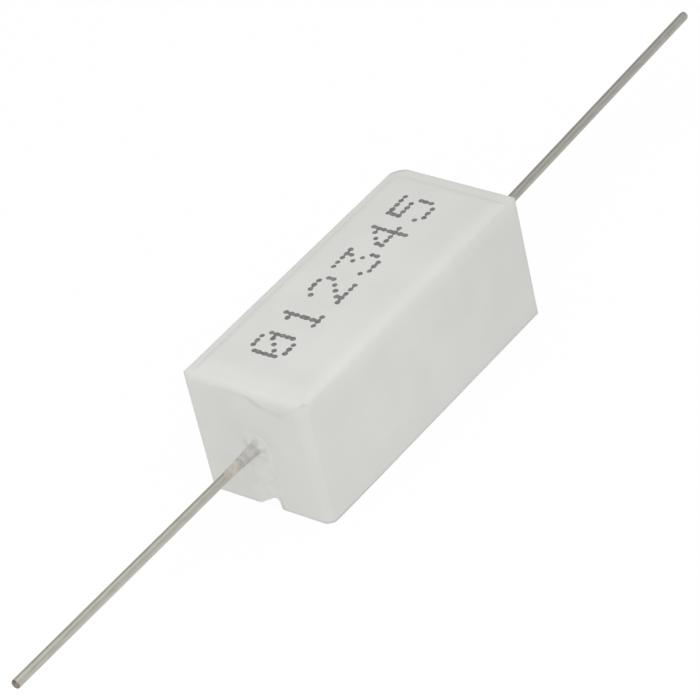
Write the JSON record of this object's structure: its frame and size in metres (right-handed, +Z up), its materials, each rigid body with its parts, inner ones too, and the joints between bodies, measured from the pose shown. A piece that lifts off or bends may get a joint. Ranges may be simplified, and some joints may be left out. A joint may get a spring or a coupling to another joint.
{
  "type": "axial resistor",
  "caption": "Cement-filled ceramic-cased wirewound power resistor: a rectangular block with a raised print pad and a straight lead from each end.",
  "frame": {"origin": "middle of the open, cement-filled side that the part lies on", "axes": "+X along the leads from the near end to the far end, +Y across the body to the left, +Z up out of the closed face that carries the print"},
  "size_m": [0.0701, 0.0092, 0.0091],
  "materials": {
    "case_ceramic": "unglazed, matt, off-white",
    "potting_cement": "rough, matt, light grey",
    "core_ceramic": "unglazed, matt, white",
    "resistance_wire": "drawn, dull",
    "cap_steel": "pressed, tinned, satin",
    "lead_tin": "hot-tinned, satin"
  },
  "bodies": {
    "root": {"ceramic_case": "case_ceramic", "cement_filling": "potting_cement", "winding_core": "core_ceramic", "resistance_winding": "resistance_wire", "near_end_cap": "cap_steel", "far_end_cap": "cap_steel", "near_lead": "lead_tin", "far_lead": "lead_tin"}
  },
  "joints": []
}
